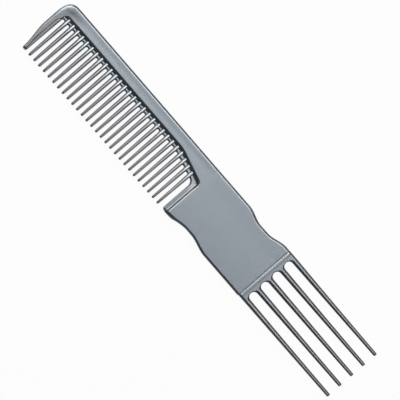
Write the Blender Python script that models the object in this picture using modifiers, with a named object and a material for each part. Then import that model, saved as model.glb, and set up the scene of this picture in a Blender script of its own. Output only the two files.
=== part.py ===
"""Grey styling comb: a row of fine teeth, a flat grip plate and a five-prong lifting fork.

The comb lies flat. X runs from the end guard tooth to the prong tips, the back edge faces +Y
and the teeth point to -Y. The origin is under the middle of the comb, on the surface it lies on.
The comb is one moulding, alike on both faces, divided here into its functional sections, which
lie one section gap apart.
"""

import math

import bmesh
import bpy
from mathutils import Matrix

# Thicknesses of the moulding, the same on both sides of its middle plane
PANEL_THICKNESS = 0.0042
WEB_THICKNESS = 0.0022
FORK_ROOT_THICKNESS = 0.0034

# Back bar, from its back edge towards the teeth
SPINE_SETBACK = 0.00026
PANEL_DEPTH = 0.00498
SLOPE_RUN = 0.0011
WEB_DEPTH = 0.00183
END_CORNER_RADIUS = 0.0053
EDGE_RADIUS = 0.0011
COVE_RADIUS = 0.0005
WEB_EDGE = 0.00035

# Soft bend where the bar's lower borders fall away towards the grip
DROOP_ANGLE = math.radians(14.7)
DROOP_BLEND = 0.0020
WEB_DROOP_LENGTH = 0.0148
PANEL_DROOP_LENGTH = 0.0130

# Teeth
TOOTH_COUNT = 28
TOOTH_PITCH = 0.002943
TOOTH_ROOT_WIDTH = 0.0015
TOOTH_TIP_WIDTH = 0.00096
TOOTH_ROOT_THICKNESS = 0.0030
TOOTH_TIP_THICKNESS = 0.0019
TOOTH_TIP_ROUND = 0.00034
TIP_DROP = 0.0003
FIRST_GAP = 0.00153
LAST_GAP = 0.00234
RIDGE_REACH = 0.0009
ROOT_STUB = 0.0005

# End guard tooth
GUARD_WIDTH = 0.00376
GUARD_TIP_WIDTH = 0.00171
GUARD_INNER_LEAN = 0.00024
GUARD_STRAIGHT = 0.0061
GUARD_EDGE = 0.0006
GUARD_TIP_ROUND = 0.0006
GUARD_TIP_THICKNESS = 0.0026

# Grip plate
GRIP_LENGTH = 0.04738
GRIP_WIDTH = 0.0278
FLANGE_WIDTH = 0.00175
FLANGE_SETBACK = 0.0002
TOE_RADIUS = 0.00115
SWEEP_RADIUS = 0.00244
RECESS_HALF_LENGTH = 0.0110
BACK_RECESS_FROM_FORK = 0.01362
BACK_RECESS_DEPTH = 0.0019
BACK_RECESS_FLOOR = 0.0022
LOWER_RECESS_FROM_SHOULDER = 0.01452
LOWER_RECESS_DEPTH = 0.00175
LOWER_RECESS_FLOOR = 0.0014

# Lifting fork
PRONG_COUNT = 5
PRONG_LENGTH = 0.0523
PRONG_ROOT_WIDTH = 0.00219
PRONG_TIP_WIDTH = 0.00157
PRONG_ROOT_THICKNESS = 0.0030
PRONG_TIP_THICKNESS = 0.0020
PRONG_TIP_ROUND = 0.0004
PRONG_STUB = 0.0006
FORK_ROOT_LENGTH = 0.00232
FORK_INSET = 0.00022
FORK_EDGE = 0.0008

# Clearances and construction
SECTION_GAP = 0.0003
OVERRUN = 0.003
WELD_DISTANCE = 0.000001
BAR_SIDES = 8
ARC_STEPS = 6
RECESS_STEPS = 14
BEND_STEPS = 4

# Finish of the pearl grey plastic
PLASTIC_COLOUR = (0.30, 0.33, 0.37, 1.0)
PLASTIC_ROUGHNESS = 0.35
PLASTIC_METALLIC = 0.3

# Places along the comb
TOOTH_ROW = (TOOTH_COUNT - 1) * TOOTH_PITCH + TOOTH_ROOT_WIDTH
TOOTHED_LENGTH = GUARD_WIDTH + FIRST_GAP + TOOTH_ROW + LAST_GAP
COMB_LENGTH = TOOTHED_LENGTH + GRIP_LENGTH + FORK_ROOT_LENGTH + PRONG_LENGTH
X_OUTER = -COMB_LENGTH / 2
X_GUARD_INNER = X_OUTER + GUARD_WIDTH
X_FIRST_TOOTH = X_GUARD_INNER + FIRST_GAP + TOOTH_ROOT_WIDTH / 2
X_SHOULDER = X_OUTER + TOOTHED_LENGTH
X_SPINE_CUT = X_SHOULDER - SWEEP_RADIUS
X_PANEL_LEFT = X_SHOULDER + FLANGE_WIDTH
X_PANEL_END = X_SHOULDER + GRIP_LENGTH
X_SLOT_END = X_PANEL_END + FORK_ROOT_LENGTH
X_TIP = X_SLOT_END + PRONG_LENGTH

# Places across the comb
COMB_WIDTH = GRIP_WIDTH + TIP_DROP
Y_GRIP_BACK = COMB_WIDTH / 2
Y_GRIP_LOWER = Y_GRIP_BACK - GRIP_WIDTH
Y_TIPS = Y_GRIP_LOWER - TIP_DROP
Y_GRIP_MIDDLE = (Y_GRIP_BACK + Y_GRIP_LOWER) / 2
Y_SPINE_BACK = Y_GRIP_BACK - SPINE_SETBACK
Y_PANEL_FOOT = Y_SPINE_BACK - PANEL_DEPTH - SLOPE_RUN
Y_ROOT = Y_PANEL_FOOT - WEB_DEPTH

# Pitch of the prongs and the slots between them
PRONG_PITCH = (GRIP_WIDTH - 2 * FORK_INSET - PRONG_ROOT_WIDTH) / (PRONG_COUNT - 1)
SLOT_RADIUS = (PRONG_PITCH - PRONG_ROOT_WIDTH) / 2
X_PRONG_CUT = X_SLOT_END + SLOT_RADIUS + PRONG_STUB

# A bar lies along X and is turned by this angle to stand as a tooth
TOOTH_TURN = -math.pi / 2


def smooth_rise(value):
    """An S-shaped rise from 0 to 1, held flat outside that range."""
    value = min(max(value, 0.0), 1.0)
    return value * value * (3 - 2 * value)


def droop(x, length):
    """How far a lower border has fallen at x, when it starts to fall this far before the shoulder."""
    run = x - (X_SHOULDER - length)
    if run <= -DROOP_BLEND:
        return 0.0
    if run >= DROOP_BLEND:
        return run * math.tan(DROOP_ANGLE)
    return (run + DROOP_BLEND) ** 2 / (4 * DROOP_BLEND) * math.tan(DROOP_ANGLE)


def root_line(x):
    """The line through the ends of the gaps between the teeth."""
    return Y_ROOT - droop(x, WEB_DROOP_LENGTH)


def foot_line(x):
    """The line where the raised panel's slope meets the web."""
    return Y_PANEL_FOOT - droop(x, PANEL_DROOP_LENGTH)


def bend_places(length):
    """Places along the comb that draw the soft bend of a lower border, from the grip to the teeth."""
    start = X_SHOULDER - length + DROOP_BLEND
    return [start - 2 * DROOP_BLEND * step / BEND_STEPS for step in range(BEND_STEPS + 1)]


def arc(centre, radius, start, end):
    """Points on an arc, with its angles in degrees."""
    angles = [math.radians(start + (end - start) * step / ARC_STEPS) for step in range(ARC_STEPS + 1)]
    return [(centre[0] + radius * math.cos(a), centre[1] + radius * math.sin(a)) for a in angles]


def recess(middle, depth, floor, base, side):
    """Points of a finger recess, in +X order; side is 1 on the back edge and -1 on the lower edge."""
    points = []
    flank = RECESS_HALF_LENGTH - floor
    for step in range(RECESS_STEPS + 1):
        offset = RECESS_HALF_LENGTH * (2 * step / RECESS_STEPS - 1)
        drop = depth * smooth_rise((RECESS_HALF_LENGTH - abs(offset)) / flank)
        points.append((middle + offset, base(step / RECESS_STEPS) - side * drop))
    return points


def back_base(share):
    """The back edge's own line across its recess, from the spine's level to the grip's."""
    return Y_SPINE_BACK + (Y_GRIP_BACK - Y_SPINE_BACK) * smooth_rise(share)


def lower_base(share):
    """The grip's lower edge, level on both sides of its recess."""
    return Y_GRIP_LOWER


def envelope_outline():
    """The comb's outer form, with the toothed side left full."""
    corner = (X_OUTER + END_CORNER_RADIUS, Y_SPINE_BACK - END_CORNER_RADIUS)
    back_middle = X_PANEL_END - BACK_RECESS_FROM_FORK
    lower_middle = X_SHOULDER + LOWER_RECESS_FROM_SHOULDER
    back = recess(back_middle, BACK_RECESS_DEPTH, BACK_RECESS_FLOOR, back_base, 1)
    lower = recess(lower_middle, LOWER_RECESS_DEPTH, LOWER_RECESS_FLOOR, lower_base, -1)
    points = arc(corner, END_CORNER_RADIUS, 180, 90) + back
    points += [(X_PANEL_END + OVERRUN, Y_GRIP_BACK), (X_PANEL_END + OVERRUN, Y_GRIP_LOWER)]
    points += lower[::-1]
    points += [(X_OUTER, Y_GRIP_LOWER)]
    return points


def panel_outline():
    """The raised panel at the foot of its slope, reaching past the comb's outer form."""
    left, right = X_OUTER - OVERRUN, X_PANEL_END + 2 * OVERRUN
    low, high = Y_GRIP_LOWER - OVERRUN, Y_GRIP_BACK + OVERRUN
    guard_low = Y_ROOT - OVERRUN
    haunch_x = X_PANEL_LEFT - COVE_RADIUS
    haunch = (haunch_x, foot_line(haunch_x) - COVE_RADIUS / math.cos(DROOP_ANGLE))
    inner = (X_GUARD_INNER + COVE_RADIUS, Y_PANEL_FOOT - COVE_RADIUS)
    points = [(left, guard_low), (left, high), (right, high), (right, low), (X_PANEL_LEFT, low)]
    points += arc(haunch, COVE_RADIUS, 0, 90 - math.degrees(DROOP_ANGLE))
    points += [(x, foot_line(x)) for x in bend_places(PANEL_DROOP_LENGTH)]
    points += arc(inner, COVE_RADIUS, 90, 180)
    points += [(X_GUARD_INNER, guard_low)]
    return points


def web_outline():
    """The thin web below the panel and the flange along the grip's shoulder."""
    inside_guard = X_GUARD_INNER - GUARD_WIDTH / 2
    inside_grip = X_PANEL_LEFT + SLOPE_RUN
    inside_panel = Y_SPINE_BACK - PANEL_DEPTH / 2
    low = Y_GRIP_LOWER + FLANGE_SETBACK
    toe = (X_SHOULDER + TOE_RADIUS, low + TOE_RADIUS)
    sweep = (X_SHOULDER - SWEEP_RADIUS, root_line(X_SHOULDER - SWEEP_RADIUS) - SWEEP_RADIUS)
    points = [(inside_guard, inside_panel), (inside_grip, inside_panel), (inside_grip, low)]
    points += arc(toe, TOE_RADIUS, 270, 180)
    points += arc(sweep, SWEEP_RADIUS, 0, 90)
    points += [(x, root_line(x)) for x in bend_places(WEB_DROOP_LENGTH)]
    points += [(inside_guard, Y_ROOT)]
    return points


def guard_outline():
    """The end guard tooth, from above its root to its round tip."""
    top = Y_ROOT + OVERRUN
    tip_inner = X_GUARD_INNER - GUARD_INNER_LEAN
    tip_outer = tip_inner - GUARD_TIP_WIDTH
    round_y = Y_TIPS + GUARD_TIP_ROUND
    straight_y = Y_ROOT - GUARD_STRAIGHT
    points = [(X_OUTER, top)]
    for step in range(RECESS_STEPS):
        y = straight_y + (round_y - straight_y) * step / RECESS_STEPS
        points.append((X_OUTER + (tip_outer - X_OUTER) * smooth_rise(step / RECESS_STEPS), y))
    points += arc((tip_outer + GUARD_TIP_ROUND, round_y), GUARD_TIP_ROUND, 180, 270)
    points += arc((tip_inner - GUARD_TIP_ROUND, round_y), GUARD_TIP_ROUND, 270, 360)
    points += [(X_GUARD_INNER, Y_ROOT), (X_GUARD_INNER, top)]
    return points


def prong_middle(number):
    """The middle line of a prong, counted from the back edge."""
    return Y_GRIP_MIDDLE + PRONG_PITCH * ((PRONG_COUNT - 1) / 2 - number)


def fork_root_outline():
    """The strip that carries the prongs, with the round ends of the slots."""
    left, right = X_PANEL_END - OVERRUN, X_PRONG_CUT + OVERRUN
    outer = Y_GRIP_BACK - FORK_INSET
    inner = Y_GRIP_LOWER + FORK_INSET
    points = [(left, inner), (left, outer), (right, outer)]
    for number in range(PRONG_COUNT - 1):
        middle = prong_middle(number) - PRONG_PITCH / 2
        points.append((right, middle + SLOT_RADIUS))
        points += arc((X_SLOT_END + SLOT_RADIUS, middle), SLOT_RADIUS, 90, 270)
        points.append((right, middle - SLOT_RADIUS))
    points.append((right, inner))
    return points


def new_collection(name):
    """A collection of this name in the scene."""
    collection = bpy.data.collections.new(name)
    bpy.context.scene.collection.children.link(collection)
    return collection


def pearl_plastic(name):
    """The comb's grey plastic, as the material of one section."""
    material = bpy.data.materials.new(name + "_plastic")
    material.use_nodes = True
    shader = material.node_tree.nodes["Principled BSDF"]
    shader.inputs["Base Color"].default_value = PLASTIC_COLOUR
    shader.inputs["Roughness"].default_value = PLASTIC_ROUGHNESS
    shader.inputs["Metallic"].default_value = PLASTIC_METALLIC
    return material


def place(name, mesh, parent, collection):
    """An object for this mesh, carried by the comb's middle plane."""
    item = bpy.data.objects.new(name, mesh)
    item.parent = parent
    collection.objects.link(item)
    return item


def finish_section(item):
    """Gives a section its material and smooth round faces."""
    item.data.materials.clear()
    item.data.materials.append(pearl_plastic(item.name))
    item.data.shade_smooth()
    item.data.set_sharp_from_angle(angle=math.radians(30))


def as_cutter(item):
    """Marks an object as construction geometry."""
    item.hide_render = True
    item.display_type = "WIRE"
    return item


def flat_plate(name, outline, thickness, parent, collection):
    """A flat plate: a filled 2D curve, made a mesh with its caps welded on."""
    curve = bpy.data.curves.new(name + "_outline", "CURVE")
    curve.dimensions = "2D"
    curve.fill_mode = "BOTH"
    curve.extrude = thickness / 2
    spline = curve.splines.new("POLY")
    spline.points.add(len(outline) - 1)
    for point, (x, y) in zip(spline.points, outline):
        point.co = (x, y, 0, 1)
    spline.use_cyclic_u = True
    guide = place(name + "_outline", curve, parent, collection)
    bpy.context.view_layer.update()
    depsgraph = bpy.context.evaluated_depsgraph_get()
    mesh = bpy.data.meshes.new_from_object(guide.evaluated_get(depsgraph))
    mesh.name = name
    shape = bmesh.new()
    shape.from_mesh(mesh)
    bmesh.ops.remove_doubles(shape, verts=shape.verts, dist=WELD_DISTANCE)
    bmesh.ops.dissolve_limit(shape, angle_limit=math.radians(0.2), verts=shape.verts, edges=shape.edges)
    bmesh.ops.recalc_face_normals(shape, faces=shape.faces)
    shape.to_mesh(mesh)
    shape.free()
    plate = place(name, mesh, parent, collection)
    plate.matrix_world = guide.matrix_world
    bpy.data.objects.remove(guide)
    bpy.data.curves.remove(curve)
    return plate


def bevel_rim(item, width, segments):
    """Rounds or chamfers the rims of a plate."""
    bevel = item.modifiers.new("rim", "BEVEL")
    bevel.width = width
    bevel.segments = segments
    bevel.limit_method = "ANGLE"
    bevel.angle_limit = math.radians(50)


def combine(item, operation, other):
    """Joins, cuts or trims a section with a construction object."""
    boolean = item.modifiers.new(other.name, "BOOLEAN")
    boolean.operation = operation
    boolean.object = other
    boolean.solver = "EXACT"


def block(name, left, right, low, high, parent, collection):
    """A construction block over a stretch of the comb, thicker than the comb."""
    shape = bmesh.new()
    bmesh.ops.create_cube(shape, size=1)
    size = Matrix.Diagonal((right - left, high - low, 2 * PANEL_THICKNESS, 1))
    middle = Matrix.Translation(((left + right) / 2, (low + high) / 2, 0))
    bmesh.ops.transform(shape, matrix=middle @ size, verts=shape.verts)
    mesh = bpy.data.meshes.new(name)
    shape.to_mesh(mesh)
    shape.free()
    return as_cutter(place(name, mesh, parent, collection))


def eight_sided_bar(start, end, start_size, end_size):
    """An eight-sided bar along X, as a bmesh.

    Its sizes are width and thickness; start and end give each end's place for a place across the bar.
    """
    shape = bmesh.new()
    radius = 1 / math.cos(math.pi / BAR_SIDES)
    bmesh.ops.create_cone(shape, cap_ends=True, segments=BAR_SIDES, radius1=radius, radius2=radius, depth=1)
    turn = Matrix.Rotation(math.pi / 2, 4, "Y") @ Matrix.Rotation(math.pi / BAR_SIDES, 4, "Z")
    bmesh.ops.transform(shape, matrix=turn, verts=shape.verts)
    for vertex in shape.verts:
        at_end = vertex.co.x > 0
        width, thickness = end_size if at_end else start_size
        across = vertex.co.y * width / 2
        along = end(across) if at_end else start(across)
        vertex.co = (along, across, vertex.co.z * thickness / 2)
    return shape


def round_tip(shape, size):
    """Rounds the far end of a bar."""
    farthest = max(vertex.co.x for vertex in shape.verts)
    near_end = farthest - WELD_DISTANCE
    rim = [edge for edge in shape.edges if min(vertex.co.x for vertex in edge.verts) > near_end]
    bmesh.ops.bevel(shape, geom=rim, offset=size, segments=2, profile=0.5, affect="EDGES")


def bar_mesh(name, shape):
    """Turns a bar's bmesh into a mesh with its faces pointing out."""
    bmesh.ops.recalc_face_normals(shape, faces=shape.faces)
    mesh = bpy.data.meshes.new(name)
    shape.to_mesh(mesh)
    shape.free()
    return mesh


def tooth_place(index):
    """The middle of a tooth along the comb."""
    return X_FIRST_TOOTH + index * TOOTH_PITCH


def root_slant(index, depth):
    """Gives the places, this deep below the root line, at which a tooth's section is cut."""
    x = tooth_place(index)
    return lambda across: root_line(x) - root_line(x + across) + depth


def make_ridges(parent, collection):
    """The ridges that carry the teeth over the web, each with the first stub of its tooth."""
    merged = bmesh.new()
    section = (TOOTH_ROOT_WIDTH, TOOTH_ROOT_THICKNESS)
    for index in range(TOOTH_COUNT):
        x = tooth_place(index)
        reach = foot_line(x) + RIDGE_REACH - root_line(x)
        shape = eight_sided_bar(lambda across: -reach, root_slant(index, ROOT_STUB), section, section)
        stand = Matrix.Translation((x, root_line(x), 0)) @ Matrix.Rotation(TOOTH_TURN, 4, "Z")
        bmesh.ops.transform(shape, matrix=stand, verts=shape.verts)
        ridge = bar_mesh("ridge", shape)
        merged.from_mesh(ridge)
        bpy.data.meshes.remove(ridge)
    return as_cutter(place("tooth_ridges", bar_mesh("tooth_ridges", merged), parent, collection))


def make_tools(parent, collection):
    """The construction objects that several sections share."""
    envelope = as_cutter(flat_plate("outer_form", envelope_outline(), PANEL_THICKNESS, parent, collection))
    bevel_rim(envelope, EDGE_RADIUS, 3)
    web = as_cutter(flat_plate("web_plate", web_outline(), WEB_THICKNESS, parent, collection))
    bevel_rim(web, WEB_EDGE, 1)
    return {"envelope": envelope, "web": web, "ridges": make_ridges(parent, collection)}


def make_body_section(name, tools, parent, collection):
    """The raised panel with its sloped border, the outer rounding and the web."""
    section = flat_plate(name, panel_outline(), PANEL_THICKNESS, parent, collection)
    bevel_rim(section, SLOPE_RUN, 1)
    combine(section, "INTERSECT", tools["envelope"])
    combine(section, "UNION", tools["web"])
    return section


def make_spine(tools, parent, collection, construction):
    """The back bar with its web, its tooth ridges and the root of the end guard tooth."""
    low, high = Y_TIPS - OVERRUN, Y_GRIP_BACK + OVERRUN
    left = X_OUTER - OVERRUN
    stretch = block("spine_stretch", left, X_SPINE_CUT, low, high, parent, construction)
    guard_right = X_GUARD_INNER + FIRST_GAP / 2
    guard_cut = block("guard_cut", left, guard_right, low, Y_ROOT - ROOT_STUB, parent, construction)
    spine = make_body_section("spine", tools, parent, collection)
    combine(spine, "UNION", tools["ridges"])
    combine(spine, "INTERSECT", stretch)
    combine(spine, "DIFFERENCE", guard_cut)
    return spine


def make_grip(tools, parent, collection, construction):
    """The flat grip plate with its shoulder flange and finger recesses."""
    low, high = Y_TIPS - OVERRUN, Y_GRIP_BACK + OVERRUN
    left = X_SPINE_CUT + SECTION_GAP
    stretch = block("grip_stretch", left, X_PANEL_END, low, high, parent, construction)
    grip = make_body_section("grip", tools, parent, collection)
    combine(grip, "INTERSECT", stretch)
    return grip


def make_guard(parent, collection, construction):
    """The wide end tooth, which thins evenly from its root to its tip."""
    guard = flat_plate("end_guard_tooth", guard_outline(), PANEL_THICKNESS, parent, collection)
    loss = (PANEL_THICKNESS - GUARD_TIP_THICKNESS) / PANEL_THICKNESS
    for vertex in guard.data.vertices:
        vertex.co.z *= 1 - loss * (Y_ROOT - vertex.co.y) / (Y_ROOT - Y_TIPS)
    bevel_rim(guard, GUARD_EDGE, 2)
    left, right = X_OUTER - OVERRUN, X_GUARD_INNER + OVERRUN
    low, high = Y_TIPS - OVERRUN, Y_ROOT - ROOT_STUB - SECTION_GAP
    stretch = block("guard_stretch", left, right, low, high, parent, construction)
    combine(guard, "INTERSECT", stretch)
    return guard


def make_tooth(index, parent, collection):
    """One tapered tooth with a rounded tip, standing on its stub of the spine."""
    name = f"tooth_{index + 1:02d}"
    x = tooth_place(index)
    length = root_line(x) - Y_TIPS
    root_size = (TOOTH_ROOT_WIDTH, TOOTH_ROOT_THICKNESS)
    tip_size = (TOOTH_TIP_WIDTH, TOOTH_TIP_THICKNESS)
    start = root_slant(index, ROOT_STUB + SECTION_GAP)
    shape = eight_sided_bar(start, lambda across: length, root_size, tip_size)
    round_tip(shape, TOOTH_TIP_ROUND)
    tooth = place(name, bar_mesh(name, shape), parent, collection)
    tooth.location = (x, root_line(x), 0)
    tooth.rotation_euler.z = TOOTH_TURN
    return tooth


def make_fork_root(parent, collection, construction):
    """The strip that joins the grip to the prongs and holds the round slot ends."""
    root = flat_plate("fork_root", fork_root_outline(), FORK_ROOT_THICKNESS, parent, collection)
    bevel_rim(root, FORK_EDGE, 2)
    left = X_PANEL_END + SECTION_GAP
    low, high = Y_GRIP_LOWER - OVERRUN, Y_GRIP_BACK + OVERRUN
    stretch = block("fork_root_stretch", left, X_PRONG_CUT, low, high, parent, construction)
    combine(root, "INTERSECT", stretch)
    return root


def make_prong(number, parent, collection):
    """One long tapered prong with a blunt rounded tip."""
    name = f"prong_{number + 1}"
    start = X_PRONG_CUT + SECTION_GAP
    root_size = (PRONG_ROOT_WIDTH, PRONG_ROOT_THICKNESS)
    tip_size = (PRONG_TIP_WIDTH, PRONG_TIP_THICKNESS)
    shape = eight_sided_bar(lambda across: 0, lambda across: X_TIP - start, root_size, tip_size)
    round_tip(shape, PRONG_TIP_ROUND)
    prong = place(name, bar_mesh(name, shape), parent, collection)
    prong.location = (start, prong_middle(number), 0)
    return prong


def main():
    """Builds the comb's sections on its middle plane."""
    for item in list(bpy.data.objects):
        bpy.data.objects.remove(item)
    sections = new_collection("styling_comb")
    construction = new_collection("construction")
    middle_plane = bpy.data.objects.new("middle_plane", None)
    middle_plane.location = (0, 0, PANEL_THICKNESS / 2)
    sections.objects.link(middle_plane)
    tools = make_tools(middle_plane, construction)
    make_spine(tools, middle_plane, sections, construction)
    make_grip(tools, middle_plane, sections, construction)
    make_guard(middle_plane, sections, construction)
    make_fork_root(middle_plane, sections, construction)
    for index in range(TOOTH_COUNT):
        make_tooth(index, middle_plane, sections)
    for number in range(PRONG_COUNT):
        make_prong(number, middle_plane, sections)
    for item in sections.objects:
        if item.type == "MESH":
            finish_section(item)


main()
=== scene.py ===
"""Dresses the styling comb: a pearl grey moulding with fine teeth, a grip plate and a lifting fork.

Every piece is alike on both sides of the comb's middle plane. X runs from the end guard tooth to the
prong tips, the back edge faces +Y and the teeth point to -Y. Sizes are in metres.
"""
import math

import bmesh
import bpy
import numpy as np
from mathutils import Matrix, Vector
from mathutils.geometry import delaunay_2d_cdt


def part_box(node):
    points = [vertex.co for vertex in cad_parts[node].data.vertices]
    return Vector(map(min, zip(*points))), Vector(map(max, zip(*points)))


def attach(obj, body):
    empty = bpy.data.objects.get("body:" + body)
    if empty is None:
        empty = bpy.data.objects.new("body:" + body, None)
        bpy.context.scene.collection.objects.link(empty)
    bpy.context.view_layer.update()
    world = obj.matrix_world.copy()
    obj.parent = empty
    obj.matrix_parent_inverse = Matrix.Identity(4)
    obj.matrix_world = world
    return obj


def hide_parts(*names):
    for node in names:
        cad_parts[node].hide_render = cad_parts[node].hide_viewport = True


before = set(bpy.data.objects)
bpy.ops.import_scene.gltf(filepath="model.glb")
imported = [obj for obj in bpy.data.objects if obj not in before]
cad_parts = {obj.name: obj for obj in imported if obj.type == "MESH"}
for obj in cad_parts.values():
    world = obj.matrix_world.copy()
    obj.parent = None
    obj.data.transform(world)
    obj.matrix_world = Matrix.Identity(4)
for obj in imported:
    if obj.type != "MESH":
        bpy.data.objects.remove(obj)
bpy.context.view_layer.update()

# Places read from the frame
SPINE_LOW, SPINE_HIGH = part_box("spine")
GRIP_LOW, GRIP_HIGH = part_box("grip")
GUARD_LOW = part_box("end_guard_tooth")[0]
FORK_LOW, FORK_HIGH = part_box("fork_root")
PLATE_HALF = (SPINE_HIGH.z - SPINE_LOW.z) / 2
MIDDLE_Z = (SPINE_HIGH.z + SPINE_LOW.z) / 2
X_OUTER = SPINE_LOW.x
PANEL_SETBACK = 0.0005
X_PANEL_END = GRIP_HIGH.x - PANEL_SETBACK
Y_SPINE_BACK = SPINE_HIGH.y
Y_GRIP_BACK = GRIP_HIGH.y
Y_GRIP_LOWER = GRIP_LOW.y
Y_TIPS = GUARD_LOW.y
TEETH = sorted(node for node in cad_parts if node.startswith("tooth_"))
PRONGS = sorted(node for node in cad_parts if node.startswith("prong_"))

# Back bar
PANEL_DEPTH = 0.00498
SLOPE_RUN = 0.0011
SLOPE_SPREAD = 0.00086
WEB_DEPTH = 0.00183
WEB_HALF = 0.0012
WEB_FALL = 0.00006
END_CORNER_ACROSS = 0.0055
END_CORNER_DOWN = 0.0081
END_CORNER_SQUARENESS = 2.6
COVE_RADIUS = 0.0006
WEB_UNDER_PANEL = PANEL_DEPTH / 2
WEB_UNDER_GRIP = 2 * SLOPE_RUN
Y_ROOT = Y_SPINE_BACK - PANEL_DEPTH - SLOPE_RUN - WEB_DEPTH
Y_PANEL_FOOT = Y_ROOT + WEB_DEPTH - SLOPE_SPREAD

# Bend of the bar's lower borders beside the grip
DROOP_ANGLE = math.radians(14.7)
DROOP_BLEND = 0.0020
WEB_DROOP_LENGTH = 0.0148
PANEL_DROOP_LENGTH = 0.0130

# Grip plate
SWEEP_RADIUS = 0.00244
SWEEP_EXTRA = 0.0002
FLANGE_WIDTH = 0.00175
FLANGE_SETBACK = 0.0002
FLANGE_RUN = 0.0002
FLANGE_RISE = 0.00016
FLANGE_RISE_RUN = 0.0037
FLANGE_RISE_LEAD = 0.0008
FLANGE_FADE = 0.0025
FLANGE_GROOVE = 0.00005
FLANGE_GROOVE_MORE = 0.00005
FLANGE_GROOVE_SPAN = 0.5
FLANGE_GROOVE_START = 0.0005
FLANGE_GROOVE_RUN = 0.0011
FLANGE_TOE_RUN = 0.0010
TOE_RADIUS = 0.00115
TOE_DROP = 0.0003
TOE_LENGTH = 0.0055
TOE_FADE = 0.0027
TOE_RIM_EXTRA = 0.0005
X_SHOULDER = SPINE_HIGH.x + SWEEP_RADIUS
FLANGE_OUT = 0.00017
X_FLANGE = X_SHOULDER - FLANGE_OUT
SHOULDER_SPREAD = 0.00053
X_PANEL_LEFT = X_SHOULDER + FLANGE_WIDTH - SHOULDER_SPREAD
RECESS_HALF_LENGTH = 0.0110
BACK_RECESS_SETBACK = 0.01362
LOWER_RECESS_SETBACK = 0.01452
BACK_RECESS = {"middle": GRIP_HIGH.x - BACK_RECESS_SETBACK, "depth": 0.0019, "floor": 0.0022}
LOWER_RECESS = {"middle": X_SHOULDER + LOWER_RECESS_SETBACK, "depth": 0.0016, "floor": 0.0014}

# Rims of the plate and the web
EDGE_RUN = 0.00118
SLOPE_TOP = 0.0002
SLOPE_SOFT_TOP = 0.35
SLOPE_SOFT_FOOT = 0.3
SLOPE_SINK = 0.00002
STEP_RUN = 0.00032
STEP_DROP = 0.00032
WEB_RUN = 0.00075
WEB_SOFT_SHARE = 0.3
EDGE_TURN = math.radians(36)
EDGE_SOFT_SHARE = 0.47
SIDE_TURN = math.radians(26.5)
SIDE_SOFT_SHARE = 0.55
SIDE_LIP_SHARE = 0.08
WEB_TURN = math.radians(34)
EDGE_LIP_SHARE = 0.13
WEB_LIP_SHARE = 0.06
CORNER_TURN = math.radians(27.5)
CORNER_TURN_START = 0.17
CORNER_TURN_SPAN = 0.28
CORNER_SOFT_SHARE = 1.0
CORNER_LIP_SHARE = 0.06
SHOULDER_RUN = 0.00195
SHOULDER_SOFT_TOP = 0.49
SHOULDER_SOFT_FOOT = 0.38
SHARP_ANGLE = math.radians(50)
MITRE_ANGLE = math.radians(30)
CORNER_CLEARANCE = 1.1
STEP_CLEARANCE = 1.3
GRIP_CROWN = 0.00006
BACK_LIFT = 0.00006
BACK_LIFT_START = 0.4
BACK_LIFT_SPAN = 0.55
CROWN_RUN = 0.006
DISH_FALL = 0.00006
DISH_DEPTH = 0.00004
DISH_FADE = 0.004
END_DIP = 0.00017
END_DIP_REACH = 0.006
END_DIP_START_SHARE = 0.3
END_DIP_SPAN_SHARE = 0.45
END_DIP_FADE = 0.008

# Fineness of the meshes
RIM_STEPS = 16
LIP_STEPS = 3
FACE_GRID = 0.0008
WEB_GRID = 0.0004
FORK_GRID = 0.00035
GRID_GAP_SHARE = 0.6
FILL_TOLERANCE = 1e-9
WELD_DISTANCE = 1e-6
LOWER_POINTS = 60
GRIP_END_POINTS = 20
BACK_POINTS = 160
ROUND_END_POINTS = 40
OUTER_POINTS = 50
INNER_POINTS = 70
TAPER_POINTS = 16
FOOT_POINTS = 111
SHOULDER_POINTS = 40
SHOULDER_POINT_POWER = 1.5
FLANGE_POINTS = 36
LEDGE_POINTS = 40
TIP_STEPS = 8
COVE_STEPS = 6
HAUNCH_STEPS = 16
TOE_STEPS = 10
SWEEP_STEPS = 16
CORNER_STEPS = 6
TOOTH_POINTS = 34
TOOTH_END_POINTS = 15
STRIP_POINTS = 44
PRONG_POINTS = 60
PRONG_TIP_POINTS = 19
SLOT_STEPS = 30
FLOOR_POINTS = 64

# End guard tooth
GUARD_WIDTH = 0.00391
GUARD_TIP_WIDTH = 0.00196
GUARD_LEAN = 0.00024
GUARD_STRAIGHT = 0.0061
GUARD_TIP_ROUND = 0.0008
GUARD_TIP_HALF = 0.0011
GUARD_TIP_RUN = 0.00055
GUARD_END_LENGTH = 0.0014
GUARD_END_FALL = 0.00036
LEDGE_TIP_RUN = 0.0002
LEDGE_ROOT_RUN = 0.0004
GUARD_COVE = 0.00012
GUARD_SLOPE_RUN = 0.0004
GUARD_THIN_START = 0.004
GUARD_THIN_POWER = 0.9
GUARD_THIN_FADE = 0.004
GUARD_SLOPE_TAPER = 0.0019
SIDE_START = 0.0042
SIDE_BLEND = 0.0042
SIDE_RUN = 0.0012
CORNER_RUN = 0.00175
FOLD_RUN = 0.0004
FOLD_DROP = 0.0001
FOLD_FADE = 0.7
FOLD_LENGTH = 0.0012
LEDGE_ROOT = 0.00012
LEDGE_BLEND = 0.0004
LEDGE_MIDDLE = 0.0012
LEDGE_SWELL = 0.0022
LEDGE_TIP = 0.00035
LEDGE_FADE_START = 0.6
LEDGE_FADE_SPAN = 0.4
HIDDEN_TIP_SHARE = 0.25
X_GUARD_INNER = X_OUTER + GUARD_WIDTH

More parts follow.
